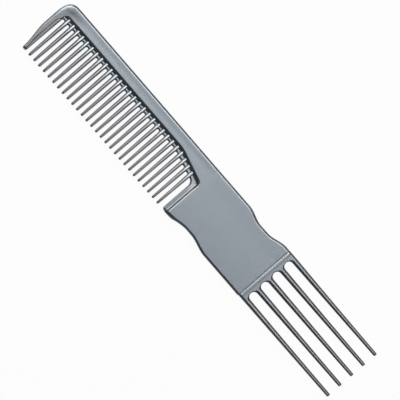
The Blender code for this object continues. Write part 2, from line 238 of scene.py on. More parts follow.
# Fine teeth
TOOTH_SHIFT = 0.00005
TOOTH_ROOT_HALF_WIDTH = 0.00086
TOOTH_TIP_HALF_WIDTH = 0.00053
TOOTH_NOSE_HALF = 0.00138
TOOTH_NOSE_POWER = 4
TOOTH_BELLY_HALF = 0.00208
TOOTH_TIP_HALF = 0.0016
TOOTH_TIP_REACH = 0.0001
TOOTH_CREST_FROM_ROOT = 0.0090
TOOTH_NOSE_OVER_FOOT = 0.00115
TOOTH_NOSE_LENGTH = 0.0004
TOOTH_NOSE_SLIM = 0.00013
TOOTH_TIP_LENGTH = 0.00085
TOOTH_TIP_SQUARENESS = 2.4
TOOTH_CREST_HALF = 0.00016
TOOTH_NOSE_CREST_HALF = 0.00026
TOOTH_NOSE_CREST_RUN = 0.003
TOOTH_CREST_SHIFT = 0.00013
TOOTH_TURN = math.radians(34)
TOOTH_LIP_SHARE = 0.06
TOOTH_SOFT_SHARE = 0.25
GAP_CORNER = 0.00045
STUB_LENGTH = 0.0022
STUB_HALF_WIDTH = 0.00066
STUB_RUN = 0.0006

# Lifting fork
FORK_ROOT_LENGTH = 0.0028
FORK_HIDDEN = 0.0026
FORK_CREST_HALF = 0.00006
FORK_GROOVE_HALF = 0.0015
FORK_BEAD_HALF = 0.00168
FORK_TROUGH_HALF = 0.0016
PRONG_BELLY_HALF = 0.00162
PRONG_TIP_HALF = 0.00105
PRONG_ROOT_HALF_WIDTH = 0.001095
PRONG_TIP_HALF_WIDTH = 0.000785
PRONG_TIP_LENGTH = 0.0007
PRONG_TURN = math.radians(36)
PRONG_SOFT_SHARE = 0.35
PRONG_TIP_SQUARENESS = 2.8
PRONG_ROOT_SWELL = 0.0003
SLOT_RUN = 0.0004
SLOT_TURN = math.radians(25)
SLOT_LIP_SHARE = 0.5
PRONG_BELLY_RUN = 0.012
PRONG_TAPER_POWER = 1.4
FORK_GROOVE_RUN = 0.0002
FORK_BEAD_RISE = 0.0006
FORK_BEAD_FALL = 0.0011
SLOT_BLEND_POWER = 4
X_SLOT_END = X_PANEL_END + FORK_ROOT_LENGTH
X_FORK_TIP = max(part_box(node)[1].x for node in PRONGS)

# Camera, studio and finish
VIEW_WIDTH = 0.1627
VIEW_DISTANCE = 1.0
VIEW_NEAREST = 0.01
VIEW_FARTHEST = 50
VIEW_CENTRE_X = 0.00077
VIEW_ROLL = math.radians(49.15)
WORLD_LEVEL = 0.024
DAYLIGHT = (1.0, 1.0, 1.0)
WARM_LIGHT = (1.0, 0.965, 0.9)
WORLD_TINT = (0.75, 0.95, 1.2, 1.0)
TOP_LIGHT = {
    "azimuth": 90, "elevation": 84, "distance": 1.3, "size": 0.7, "level": 0.935, "tint": DAYLIGHT,
}
KEY_LIGHT = {
    "azimuth": 112, "elevation": 56, "distance": 1.2, "size": 1.0, "level": 2.8, "tint": WARM_LIGHT,
}
SIDE_LIGHT = {
    "azimuth": 172, "elevation": 52, "distance": 1.2, "size": 0.6, "level": 3.2, "tint": WARM_LIGHT,
}
FLOOR_RADIUS = 6.0
FLOOR_PAINT = (0.85, 0.85, 0.85, 1)
BACKDROP_HEIGHT = 0.65
FLOOR_WHITE_SHARE = 0.95
PEARL_GREY = (0.308, 0.347, 0.392, 1.0)
# Painted reflection: the thin parts' greyer tone stands in for the lamps' neutral reflections on their
# tilted faces.
REFLECTION_GREY = (0.314, 0.331, 0.360, 1.0)
THIN_START = 0.0005
THIN_FADE = 0.0035
PEARL_METALLIC = 0.9
PEARL_ROUGHNESS = 0.3
COAT_WEIGHT = 0.2
COAT_ROUGHNESS = 0.25
SWIRL = {"Scale": 60, "Detail": 3, "Distortion": 1.2}
SWIRL_DEPTH = 0.05
FLAKE = {"Scale": 5000, "Detail": 1}
FLAKE_SPAN = (0.3, 0.7)
FLAKE_DEPTH = 0.05
RUB = {"Scale": 700, "Detail": 4}
RUB_STRETCH = (0.15, 1.0, 1.0)
RUB_DEPTH = 0.05
SKIN = {"Scale": 900, "Detail": 2}
SKIN_STRENGTH = 0.1
SKIN_DEPTH = 0.00003


def smooth_rise(value):
    """An S-shaped rise from 0 to 1, held flat outside that range."""
    value = np.clip(value, 0, 1)
    return value * value * (3 - 2 * value)


def droop(x, length):
    """How far a lower border has fallen at x: a straight fall with a soft bend before the shoulder.

    The bend is a parabola, the square of the run into it.
    """
    run = np.maximum(x - (X_SHOULDER - length), -DROOP_BLEND)
    bend = (run + DROOP_BLEND) ** 2 / (4 * DROOP_BLEND)
    return math.tan(DROOP_ANGLE) * np.where(run < DROOP_BLEND, bend, run)


def root_line(x):
    """The line through the ends of the gaps between the teeth."""
    return Y_ROOT - droop(x, WEB_DROOP_LENGTH)


def foot_line(x):
    """The line where the raised panel's slope meets the web."""
    return Y_PANEL_FOOT - droop(x, PANEL_DROOP_LENGTH)


def recess_depth(x, middle, depth, floor):
    """Depth of a finger recess at x: a level floor with an S-shaped flank on each side."""
    flank = RECESS_HALF_LENGTH - floor
    return depth * smooth_rise((RECESS_HALF_LENGTH - np.abs(x - middle)) / flank)


def back_line(x):
    """The back edge: the spine's level, then the grip's, less the back recess."""
    share = (x - BACK_RECESS["middle"]) / (2 * RECESS_HALF_LENGTH) + 0.5
    level = Y_SPINE_BACK + (Y_GRIP_BACK - Y_SPINE_BACK) * smooth_rise(share)
    return level - recess_depth(x, **BACK_RECESS)


def toe_share(x):
    """How much of the toe beside the shoulder there is at x."""
    return 1 - smooth_rise((x - X_SHOULDER - TOE_LENGTH) / TOE_FADE)


def lower_line(x):
    """The grip's lower edge: a low toe beside the shoulder, then its recess."""
    return Y_GRIP_LOWER - TOE_DROP * toe_share(x) + recess_depth(x, **LOWER_RECESS)


def guard_share(y):
    """How far along the end guard tooth a place is, from 0 at its root to 1 at its tip."""
    return np.clip((Y_ROOT - y) / (Y_ROOT - Y_TIPS), 0, 1)


def guard_outer(y):
    """The guard's outer border: straight, then an S-shaped sweep in to its tip."""
    tip = X_GUARD_INNER - GUARD_LEAN - GUARD_TIP_WIDTH
    straight_end = Y_ROOT - GUARD_STRAIGHT
    share = (straight_end - y) / (straight_end - Y_TIPS - GUARD_TIP_ROUND)
    return X_OUTER + (tip - X_OUTER) * smooth_rise(share)


def guard_inner(y):
    """The guard's inner border, which leans slightly outwards towards the tip."""
    return X_GUARD_INNER - GUARD_LEAN * guard_share(y)


def ledge_width(y):
    """Width of the thin ledge along the guard's inner border: narrow at both ends."""
    share = guard_share(y)
    fade = 1 - smooth_rise((share - LEDGE_FADE_START) / LEDGE_FADE_SPAN)
    swell = smooth_rise((Y_ROOT - y) / LEDGE_SWELL) * fade
    ends = LEDGE_ROOT + (LEDGE_TIP - LEDGE_ROOT) * share
    return ends + (LEDGE_MIDDLE - ends) * swell


def fold_share(y):
    """How much of the full slope is left along the guard: all at its root, none a little below."""
    return 1 - smooth_rise((Y_ROOT - y) / FOLD_LENGTH)


def guard_thinning(x, y):
    """Share of the full thickness left at a place: all of it, but on and above the guard.

    The guard thins with a power of the way to its tip, and its very end with the square of the way.
    """
    start = Y_PANEL_FOOT + GUARD_THIN_START
    fall = np.clip((start - y) / (start - Y_TIPS), 0, 1) ** GUARD_THIN_POWER
    on_guard = 1 - smooth_rise((x - X_GUARD_INNER) / GUARD_THIN_FADE)
    end = np.clip((Y_TIPS + GUARD_END_LENGTH - y) / GUARD_END_LENGTH, 0, 1) ** 2
    return 1 - ((1 - GUARD_TIP_HALF / PLATE_HALF) * fall + GUARD_END_FALL / PLATE_HALF * end) * on_guard


def end_dip(x, y):
    """How far the panel has sunk inside its rounded end.

    Nearness to the outer end and back edge runs from 0 to 1 and is the root of the sum of the powers
    of the two; the panel falls in an S as it grows less, and recovers along the spine.
    """
    across = np.maximum(X_OUTER + END_DIP_REACH - x, 0) / END_DIP_REACH
    down = np.maximum(y - Y_SPINE_BACK + END_DIP_REACH, 0) / END_DIP_REACH
    power = END_CORNER_SQUARENESS
    nearness = (across ** power + down ** power) ** (1 / power)
    fall = smooth_rise((1 - nearness - END_DIP_START_SHARE) / END_DIP_SPAN_SHARE)
    return END_DIP * fall * (1 - smooth_rise((x - X_OUTER - END_DIP_REACH) / END_DIP_FADE))


def panel_height(x, y):
    """Half thickness of the raised panel.

    It is level, with a crown across the grip's lower half that falls with the square of the way, and a
    faint lift near its back edge. Both go over into the spine in an S. The spine has a faint dish, a
    parabola across it that leans towards the teeth. There is a dip inside the rounded end and a
    thinning along the guard.
    """
    across = (y - (Y_GRIP_BACK + Y_GRIP_LOWER) / 2) / ((Y_GRIP_BACK - Y_GRIP_LOWER) / 2)
    to_grip = smooth_rise((x - X_SHOULDER) / CROWN_RUN)
    crown = GRIP_CROWN * np.maximum(1 - np.minimum(across, 0) ** 2, 0) * to_grip
    near_back = smooth_rise((across - BACK_LIFT_START) / BACK_LIFT_SPAN)
    lift = BACK_LIFT * (near_back * to_grip + 1 - to_grip)
    share = np.clip((Y_SPINE_BACK - EDGE_RUN - y) / (PANEL_DEPTH - SLOPE_TOP - EDGE_RUN), 0, 1)
    dish = (DISH_FALL + 4 * DISH_DEPTH * (1 - share)) * share
    dish = dish * (1 - to_grip) * smooth_rise((x - X_OUTER - CORNER_RUN) / DISH_FADE)
    level = (PLATE_HALF - GRIP_CROWN - BACK_LIFT) * guard_thinning(x, y)
    return level + crown + lift - dish - end_dip(x, y)


def flange_rise(y):
    """How much thicker than the web the shoulder's flange is at a place."""
    return FLANGE_RISE * smooth_rise((root_line(X_SHOULDER) + FLANGE_RISE_LEAD - y) / FLANGE_RISE_RUN)


def flange_groove(x, y):
    """How far the flange has sunk towards the shoulder: more and more towards its lower end."""
    down = np.clip((root_line(X_SHOULDER) - y) / (root_line(X_SHOULDER) - Y_GRIP_LOWER), 0, 1)
    across = smooth_rise((x - X_FLANGE - FLANGE_GROOVE_START) / FLANGE_GROOVE_RUN)
    depth = FLANGE_GROOVE * smooth_rise(down / FLANGE_GROOVE_SPAN) + FLANGE_GROOVE_MORE * down ** 2
    return depth * across


def web_height(x, y):
    """Half thickness of the web: it rises to a ledge just below the guard's face, and to the flange.

    Between the teeth it falls a little towards the panel's foot; the flange falls towards the shoulder.
    """
    ledge = (1 - fold_share(y)) * smooth_rise(1 + (X_GUARD_INNER - x) / LEDGE_BLEND)
    flange = flange_rise(y) * smooth_rise(1 + (x - X_FLANGE) / SWEEP_RADIUS)
    fall = WEB_FALL * np.clip((y - root_line(x)) / WEB_DEPTH, 0, 1) * (1 - ledge)
    fall = fall + flange_groove(x, y)
    fold = FOLD_DROP * (1 - FOLD_FADE * guard_share(y))
    return WEB_HALF + (panel_height(x, y) - fold - WEB_HALF) * ledge + flange - fall


def panel_drop(points):
    """How far the panel's face is above the web at these points, and a little more.

    The little more sinks the slope's foot into the web.
    """
    x, y = points.T
    return panel_height(x, y) - web_height(x, y) + SLOPE_SINK


def arc(centre, radius, start, end, steps):
    """Points on an arc between two angles in degrees."""
    angle = np.radians(np.linspace(start, end, steps + 1))
    return np.stack([centre[0] + radius * np.cos(angle), centre[1] + radius * np.sin(angle)], 1)


def along_x(x, line):
    """Points over these places along the comb, on a border given as a function of x."""
    return np.stack([x, line(x) + np.zeros_like(x)], 1)


def along_y(y, line):
    """Points at these places across the comb, on a border given as a function of y."""
    return np.stack([line(y) + np.zeros_like(y), y], 1)


def turned_edge(turn, soft_share, lip_share=EDGE_LIP_SHARE):
    """A rim whose tilt rises in an S from level to this angle, holds, and turns upright over a lip.

    Gives shares of the rim's run, shares of its drop, and its drop as a share of its run. The drop is
    the sum of the tilt's tangent over the run; the lip is an arc.
    """
    lip_radius = lip_share / (1 - math.sin(turn))
    out = np.linspace(0, 1 - lip_share, RIM_STEPS)
    tangent = np.tan(turn * smooth_rise(out / soft_share))
    fall = np.concatenate([[0], np.cumsum((tangent[1:] + tangent[:-1]) / 2 * np.diff(out))])
    tilt = np.linspace(turn, math.pi / 2, LIP_STEPS + 1)[1:]
    lip_out = out[-1] + lip_radius * (np.sin(tilt) - math.sin(turn))
    lip_fall = fall[-1] + lip_radius * (math.cos(turn) - np.cos(tilt))
    out = np.concatenate([out, lip_out])[::-1]
    fall = np.concatenate([fall, lip_fall])[::-1]
    return np.stack([1 - out, fall / fall[0]], 1), fall[0]


def ogee_edge(soft_top, soft_foot):
    """A slope rounded into the faces above and below it over these shares of its run.

    The slope's steepness rises in an S from the top, holds and falls in an S to the foot.
    """
    out = np.linspace(0, 1, RIM_STEPS + LIP_STEPS)
    steepness = smooth_rise(out / soft_top) * smooth_rise((1 - out) / soft_foot)
    fall = np.concatenate([[0], np.cumsum((steepness[1:] + steepness[:-1]) / 2 * np.diff(out))])[::-1]
    return np.stack([1 - out[::-1], fall / fall[0]], 1)


ROUND_RIM, ROUND_DROP_SHARE = turned_edge(EDGE_TURN, EDGE_SOFT_SHARE)
SIDE_RIM, SIDE_DROP_SHARE = turned_edge(SIDE_TURN, SIDE_SOFT_SHARE, SIDE_LIP_SHARE)
CORNER_RIM, CORNER_DROP_SHARE = turned_edge(CORNER_TURN, CORNER_SOFT_SHARE, CORNER_LIP_SHARE)
WEB_RIM, WEB_DROP_SHARE = turned_edge(WEB_TURN, WEB_SOFT_SHARE, WEB_LIP_SHARE)
TOOTH_RIM, TOOTH_DROP_SHARE = turned_edge(TOOTH_TURN, TOOTH_SOFT_SHARE, TOOTH_LIP_SHARE)
PRONG_RIM, PRONG_DROP_SHARE = turned_edge(PRONG_TURN, PRONG_SOFT_SHARE)
SLOT_RIM, SLOT_DROP_SHARE = turned_edge(SLOT_TURN, PRONG_SOFT_SHARE, SLOT_LIP_SHARE)
SLOPE_RIM = ogee_edge(SLOPE_SOFT_TOP, SLOPE_SOFT_FOOT)
SHOULDER_RIM = ogee_edge(SHOULDER_SOFT_TOP, SHOULDER_SOFT_FOOT)


def stretch(points, run, drop, rim, core=math.nan):
    """A stretch of an outline: its points, and the run, drop and profile of the rim along it.

    The rim ends one run inside the outline, or at the core's points where these are given.
    """
    count = len(points)
    return {
        "path": points,
        "core": np.broadcast_to(core, (count, 2)),
        "run": np.broadcast_to(run, count),
        "drop": np.broadcast_to(drop, count),
        "rim": np.broadcast_to(rim, (count,) + rim.shape[-2:]),
    }


def join(stretches):
    """One closed outline from its stretches; a sharp corner takes the mean of the rims beside it."""
    outline = {key: np.concatenate([part[key] for part in stretches]) for key in stretches[0]}
    path = outline["path"]
    side = np.roll(path, -1, 0) - path
    side /= np.linalg.norm(side, axis=1)[:, None]
    after = np.stack([-side[:, 1], side[:, 0]], 1)
    before = np.roll(after, 1, 0)
    cross = before[:, 0] * after[:, 1] - before[:, 1] * after[:, 0]
    sharp = np.abs(cross) > math.sin(MITRE_ANGLE)
    run_before = np.where(sharp, np.roll(outline["run"], 1), outline["run"])
    run_after = np.where(sharp, np.roll(outline["run"], -1), outline["run"])
    mitre = run_before[:, None] * np.stack([after[:, 1], -after[:, 0]], 1)
    mitre += run_after[:, None] * np.stack([-before[:, 1], before[:, 0]], 1)
    mitre /= np.where(sharp, cross, 1)[:, None]
    even = (before + after) * (outline["run"] / (1 + (before * after).sum(1)))[:, None]
    inset = path + np.where(sharp[:, None], mitre, even)
    outline["core"] = np.where(np.isnan(outline["core"]), inset, outline["core"])
    for key in ("drop", "rim"):
        values = outline[key]
        mean = (np.roll(values, 1, 0) + np.roll(values, -1, 0)) / 2
        outline[key] = np.where(sharp.reshape((-1,) + (1,) * (values.ndim - 1)), mean, values)
    return outline


def inside(points, loop):
    """Whether each point is inside a closed loop.

    A line from such a point in +X crosses the loop an odd number of times.
    """
    x, y = points[:, None, 0], points[:, None, 1]
    start, end = loop[None], np.roll(loop, -1, 0)[None]
    spans = (start[..., 1] > y) != (end[..., 1] > y)
    rise = np.where(spans, end[..., 1] - start[..., 1], 1)
    crossing = start[..., 0] + (end[..., 0] - start[..., 0]) * (y - start[..., 1]) / rise
    return (spans & (x < crossing)).sum(1) % 2 == 1


def filled_face(core, height, grid):
    """Triangles over the inside of a closed loop, at the height given as a function of the place."""
    low, high = core.min(0), core.max(0)
    x, y = np.meshgrid(*[np.arange(low[axis] + grid / 2, high[axis], grid) for axis in (0, 1)])
    inner = np.stack([x.ravel(), y.ravel()], 1)
    inner = inner[inside(inner, core)]
    gap = np.sqrt(((inner[:, None] - core[None]) ** 2).sum(2)).min(1)
    inner = inner[gap > GRID_GAP_SHARE * grid]
    points = np.concatenate([core, inner])
    border = [list(range(len(core)))]
    found = delaunay_2d_cdt([Vector(point) for point in points], [], border, 1, FILL_TOLERANCE)
    flat = np.array([tuple(point) for point in found[0]])
    return np.column_stack([flat, height(flat[:, 0], flat[:, 1])]), [list(face) for face in found[2]]


def closed_mesh(name, points, faces):
    """A piece at the origin from its points and faces, with seams welded and faces pointing out."""
    mesh = bpy.data.meshes.new(name)
    mesh.from_pydata([tuple(point) for point in points], [], faces)
    shape = bmesh.new()
    shape.from_mesh(mesh)
    bmesh.ops.remove_doubles(shape, verts=shape.verts, dist=WELD_DISTANCE)
    bmesh.ops.recalc_face_normals(shape, faces=shape.faces)
    shape.to_mesh(mesh)
    shape.free()
    mesh.shade_smooth()
    mesh.set_sharp_from_angle(angle=SHARP_ANGLE)
    piece = bpy.data.objects.new(name, mesh)
    bpy.context.scene.collection.objects.link(piece)
    return piece


def plate(name, outline, height, grid=FACE_GRID):
    """A flat piece: its rim's profile carried along its outline, and a face on either side.

    A rim point lies a share of the way from the outline to the core, at the face's height less its
    share of the drop; the lower side is the upper one's mirror image in the middle plane.
    """
    path, core = outline["path"], outline["core"]
    run, fall = outline["rim"][:, :, 0], outline["rim"][:, :, 1]
    flat = path[:, None] + run[:, :, None] * (core - path)[:, None]
    rise = height(flat[:, :, 0], flat[:, :, 1]) - outline["drop"][:, None] * fall
    upper = np.concatenate([flat, rise[:, :, None]], 2).transpose(1, 0, 2)
    middle = np.column_stack([path, np.zeros(len(path))])[None]
    lower = upper[::-1] * np.array([1, 1, -1])
    rings = np.concatenate([lower, middle, upper])
    faces = ring_faces(*rings.shape[:2])
    points = rings.reshape(-1, 3)
    face_points, face_list = filled_face(core, height, grid)
    for side in (1, -1):
        faces += [[index + len(points) for index in face] for face in face_list]
        points = np.concatenate([points, face_points * np.array([1, 1, side])])
    return closed_mesh(name, points + np.array([0, 0, MIDDLE_Z]), faces)


def ring_faces(rings, count):
    """Quads between successive closed rings of this many points."""
    row, column = np.meshgrid(np.arange(rings - 1), np.arange(count), indexing="ij")
    here = row * count + column
    beside = row * count + (column + 1) % count
    return np.stack([here, beside, beside + count, here + count], -1).reshape(-1, 4).tolist()


def comb_body():
    """The raised panel: spine, grip plate and the thick part of the end guard tooth.

    The rims along its outer border and round the haunch go over into one another in an S, and the
    slope beside the guard widens to its full run as a quarter circle does.
    """
    edge_drop = EDGE_RUN * ROUND_DROP_SHARE
    slope_run = SLOPE_TOP + SLOPE_RUN + SLOPE_SPREAD
    end_x = X_PANEL_END - STEP_CLEARANCE * STEP_RUN
    corner = np.array([X_OUTER + END_CORNER_ACROSS, Y_SPINE_BACK - END_CORNER_DOWN])
    inner_x = X_GUARD_INNER - LEDGE_ROOT
    haunch_x = X_PANEL_LEFT - COVE_RADIUS
    haunch = (haunch_x, foot_line(haunch_x) - COVE_RADIUS / math.cos(DROOP_ANGLE))
    tip_y = Y_TIPS + GUARD_TIP_ROUND

    lower_start = X_PANEL_LEFT + CORNER_CLEARANCE * slope_run
    lower = along_x(np.linspace(lower_start, end_x, LOWER_POINTS), lower_line)
    end_corner_low = np.array([[X_PANEL_END, Y_GRIP_LOWER]])
    clearance = CORNER_CLEARANCE * EDGE_RUN
    end_y = np.linspace(Y_GRIP_LOWER + clearance, Y_GRIP_BACK - clearance, GRIP_END_POINTS)
    end = along_y(end_y, lambda y: X_PANEL_END)
    end_corner_high = np.array([[X_PANEL_END, Y_GRIP_BACK]])
    back = along_x(np.linspace(end_x, corner[0], BACK_POINTS)[:-1], back_line)
    angle = np.linspace(math.pi / 2, math.pi, ROUND_END_POINTS)
    cosine, sine = superellipse(angle, END_CORNER_SQUARENESS)
    round_corner = corner + np.stack([END_CORNER_ACROSS * cosine, END_CORNER_DOWN * sine], 1)
    outer_y = np.linspace(corner[1], tip_y, OUTER_POINTS)[1:-1]
    outer = along_y(outer_y, guard_outer)
    tip_outer = guard_outer(tip_y)
    tip_inner = guard_inner(tip_y) - ledge_width(tip_y)
    round_tip = np.concatenate([
        arc((tip_outer + GUARD_TIP_ROUND, tip_y), GUARD_TIP_ROUND, 180, 270, TIP_STEPS),
        arc((tip_inner - GUARD_TIP_ROUND, tip_y), GUARD_TIP_ROUND, 270, 360, TIP_STEPS),
    ])
    inner_y = np.linspace(tip_y, Y_PANEL_FOOT - GUARD_COVE, INNER_POINTS)[1:-1]
    inner = along_y(inner_y, lambda y: guard_inner(y) - ledge_width(y))
    foot_start = inner_x + GUARD_COVE
    inner_corner = arc((foot_start, Y_PANEL_FOOT - GUARD_COVE), GUARD_COVE, 180, 90, COVE_STEPS)
    foot_x = np.concatenate([
        np.linspace(foot_start, foot_start + GUARD_SLOPE_TAPER, TAPER_POINTS)[1:-1],
        np.linspace(foot_start + GUARD_SLOPE_TAPER, haunch_x, FOOT_POINTS)[:-1],
    ])
    foot = along_x(foot_x, foot_line)
    round_haunch = arc(haunch, COVE_RADIUS, 90 - math.degrees(DROOP_ANGLE), 0, HAUNCH_STEPS)
    shoulder_share = np.linspace(0, 1, SHOULDER_POINTS)[1:] ** SHOULDER_POINT_POWER
    shoulder_y = haunch[1] - (haunch[1] - Y_GRIP_LOWER - clearance) * shoulder_share
    shoulder = along_y(shoulder_y, lambda y: X_PANEL_LEFT)
    shoulder_corner = np.array([[X_PANEL_LEFT, Y_GRIP_LOWER - TOE_DROP]])

    border = np.concatenate([round_corner, outer])
    lower_run = EDGE_RUN + TOE_RIM_EXTRA * toe_share(lower[:, 0])
    round_share = np.linspace(0, 1, len(round_corner))
    turned = smooth_rise((round_share - CORNER_TURN_START) / CORNER_TURN_SPAN)
    turned = np.concatenate([turned, np.ones(len(outer))])
    sided = smooth_rise((Y_SPINE_BACK - SIDE_START - border[:, 1]) / SIDE_BLEND)
    border_run = EDGE_RUN + (CORNER_RUN - EDGE_RUN) * turned + (SIDE_RUN - CORNER_RUN) * sided
    border_run = border_run + (GUARD_TIP_RUN - SIDE_RUN) * guard_share(border[:, 1])
    border_share = ROUND_DROP_SHARE + (CORNER_DROP_SHARE - ROUND_DROP_SHARE) * turned
    border_share = border_share + (SIDE_DROP_SHARE - CORNER_DROP_SHARE) * sided
    border_rim = ROUND_RIM + (CORNER_RIM - ROUND_RIM) * turned[:, None, None]
    border_rim = border_rim + (SIDE_RIM - CORNER_RIM) * sided[:, None, None]
    inner_run = FOLD_RUN + (GUARD_SLOPE_RUN - FOLD_RUN) * fold_share(inner_y) ** 2
    from_guard = np.clip((foot_x - foot_start) / GUARD_SLOPE_TAPER, 0, 1)
    foot_run = slope_run - (slope_run - GUARD_SLOPE_RUN) * (1 - np.sqrt(1 - (1 - from_guard) ** 2))
    around = smooth_rise(np.linspace(0, 1, len(round_haunch)))
    haunch_run = slope_run + (SHOULDER_RUN - slope_run) * around
    haunch_rim = SLOPE_RIM + (SHOULDER_RIM - SLOPE_RIM) * around[:, None, None]
    outline = join([
        stretch(shoulder_corner, SHOULDER_RUN, panel_drop(shoulder_corner), SHOULDER_RIM),
        stretch(lower, lower_run, lower_run * ROUND_DROP_SHARE, ROUND_RIM),
        stretch(end_corner_low, STEP_RUN, STEP_DROP, ROUND_RIM),
        stretch(end, STEP_RUN, STEP_DROP, ROUND_RIM),
        stretch(end_corner_high, STEP_RUN, STEP_DROP, ROUND_RIM),
        stretch(back, EDGE_RUN, edge_drop, ROUND_RIM),
        stretch(border, border_run, border_run * border_share, border_rim),
        stretch(round_tip, GUARD_TIP_RUN, GUARD_TIP_RUN * SIDE_DROP_SHARE, SIDE_RIM),
        stretch(inner, inner_run, panel_drop(inner), SLOPE_RIM),
        stretch(inner_corner, GUARD_SLOPE_RUN, panel_drop(inner_corner), SLOPE_RIM),
        stretch(foot, foot_run, panel_drop(foot), SLOPE_RIM),
        stretch(round_haunch, haunch_run, panel_drop(round_haunch), haunch_rim),
        stretch(shoulder, SHOULDER_RUN, panel_drop(shoulder), SHOULDER_RIM),
    ])
    piece = plate("comb_body", outline, panel_height)
    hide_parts("spine", "grip", "end_guard_tooth")
    return piece


def tooth_middle(node):
    """The middle of one tooth along the comb."""
    low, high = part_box(node)
    return (low.x + high.x) / 2 + TOOTH_SHIFT


def tooth_middles():
    """The middle of each tooth along the comb."""
    return np.array(sorted(tooth_middle(node) for node in TEETH))


def tooth_stub(x):
    """Outline of the web where the tooth at x leaves it: a round gap corner on each side of a stub."""
    left, right = x - TOOTH_ROOT_HALF_WIDTH, x + TOOTH_ROOT_HALF_WIDTH
    y_left = root_line(left - GAP_CORNER) - GAP_CORNER
    y_right = root_line(right + GAP_CORNER) - GAP_CORNER
    y_end = root_line(x) - STUB_LENGTH
    return np.concatenate([
        arc((left - GAP_CORNER, y_left), GAP_CORNER, 90, 0, CORNER_STEPS),
        [[x - STUB_HALF_WIDTH, y_end], [x + STUB_HALF_WIDTH, y_end]],
        arc((right + GAP_CORNER, y_right), GAP_CORNER, 180, 90, CORNER_STEPS),
    ])


def tooth_web():
    """The thin web below the panel, with the gaps' arched ends, the shoulder flange and the ledge.

    Its rim is narrow beside the guard and a little narrower on each stub than in the gaps; it narrows
    down the flange in an S and widens again round the toe.
    """
    inside_guard = X_OUTER + EDGE_RUN
    inside_grip = X_PANEL_LEFT + WEB_UNDER_GRIP
    inside_panel = Y_SPINE_BACK - WEB_UNDER_PANEL
    low = Y_GRIP_LOWER - TOE_DROP + FLANGE_SETBACK
    tip_y = Y_TIPS + GUARD_TIP_ROUND
    toe = arc((X_FLANGE + TOE_RADIUS, low + TOE_RADIUS), TOE_RADIUS, 180, 270, TOE_STEPS)
    radius = SWEEP_RADIUS + SWEEP_EXTRA
    sweep_x = X_FLANGE - radius
    last_side = tooth_middles()[-1] + STUB_HALF_WIDTH
    sweep_start = math.degrees(math.acos((last_side - sweep_x) / radius))
    sweep = arc((sweep_x, root_line(sweep_x) - radius), radius, sweep_start, 0, SWEEP_STEPS)
    flange_y = np.linspace(sweep[-1, 1], low + TOE_RADIUS, FLANGE_POINTS)[1:-1]
    flange = along_y(flange_y, lambda y: X_FLANGE)
    ledge_y = np.linspace(tip_y, Y_ROOT - GAP_CORNER, LEDGE_POINTS)
    ledge = along_y(ledge_y, guard_inner)
    gap_corner = (X_GUARD_INNER + GAP_CORNER, Y_ROOT - GAP_CORNER)
    ledge_corner = arc(gap_corner, GAP_CORNER, 180, 90, CORNER_STEPS)[1:]
    tip_middle = (guard_inner(tip_y) - GUARD_TIP_ROUND, tip_y)
    ledge_tip = arc(tip_middle, GUARD_TIP_ROUND, 270, 360, TIP_STEPS)[:-1]
    hidden_y = Y_TIPS + HIDDEN_TIP_SHARE * GUARD_TIP_RUN
    hidden = np.array([[guard_outer(tip_y) + GUARD_TIP_ROUND, hidden_y]])

    stubs = np.concatenate([tooth_stub(x) for x in tooth_middles()])[:-CORNER_STEPS - 1]
    border = np.concatenate([ledge_tip, ledge, ledge_corner, stubs, sweep, flange, toe])
    share = np.linspace(0, 1, CORNER_STEPS + 2)
    stub_run = WEB_RUN + (STUB_RUN - WEB_RUN) * smooth_rise(np.concatenate([share, share[::-1]]))
    flange_fade = smooth_rise((sweep[-1, 1] - flange_y) / FLANGE_FADE)
    toe_fade = smooth_rise(np.linspace(0, 1, len(toe)))
    border_run = np.concatenate([
        np.linspace(GUARD_TIP_RUN, LEDGE_TIP_RUN, len(ledge_tip)),
        np.linspace(LEDGE_TIP_RUN, LEDGE_ROOT_RUN, len(ledge)),
        np.full(len(ledge_corner), WEB_RUN),
        np.tile(stub_run, len(TEETH))[:len(stubs)],
        np.full(len(sweep), WEB_RUN),
        WEB_RUN + (FLANGE_RUN - WEB_RUN) * flange_fade,
        FLANGE_RUN + (FLANGE_TOE_RUN - FLANGE_RUN) * toe_fade,
    ])
    under_grip = np.array([[inside_grip, low]])
    closing = np.array([[inside_grip, inside_panel], [inside_guard, inside_panel]])
    parts = (
        (border, border_run),
        (under_grip, FLANGE_TOE_RUN),
        (closing, STUB_RUN),
        (hidden, GUARD_TIP_RUN),
    )
    outline = join([stretch(points, run, run * WEB_DROP_SHARE, WEB_RIM) for points, run in parts])
    return plate("tooth_web", outline, web_height, grid=WEB_GRID)


def tooth_height(y, nose, crest):
    """Half thickness along a tooth: it falls from the crest with a power of the distance, both ways."""
    to_nose = np.clip((y - crest) / (nose - crest), 0, 1)
    to_tip = np.clip((crest - y) / (crest - Y_TIPS), 0, 1)
    height = TOOTH_BELLY_HALF - (TOOTH_BELLY_HALF - TOOTH_NOSE_HALF) * to_nose ** TOOTH_NOSE_POWER
    return height - (TOOTH_BELLY_HALF - TOOTH_TIP_HALF) * to_tip ** 2


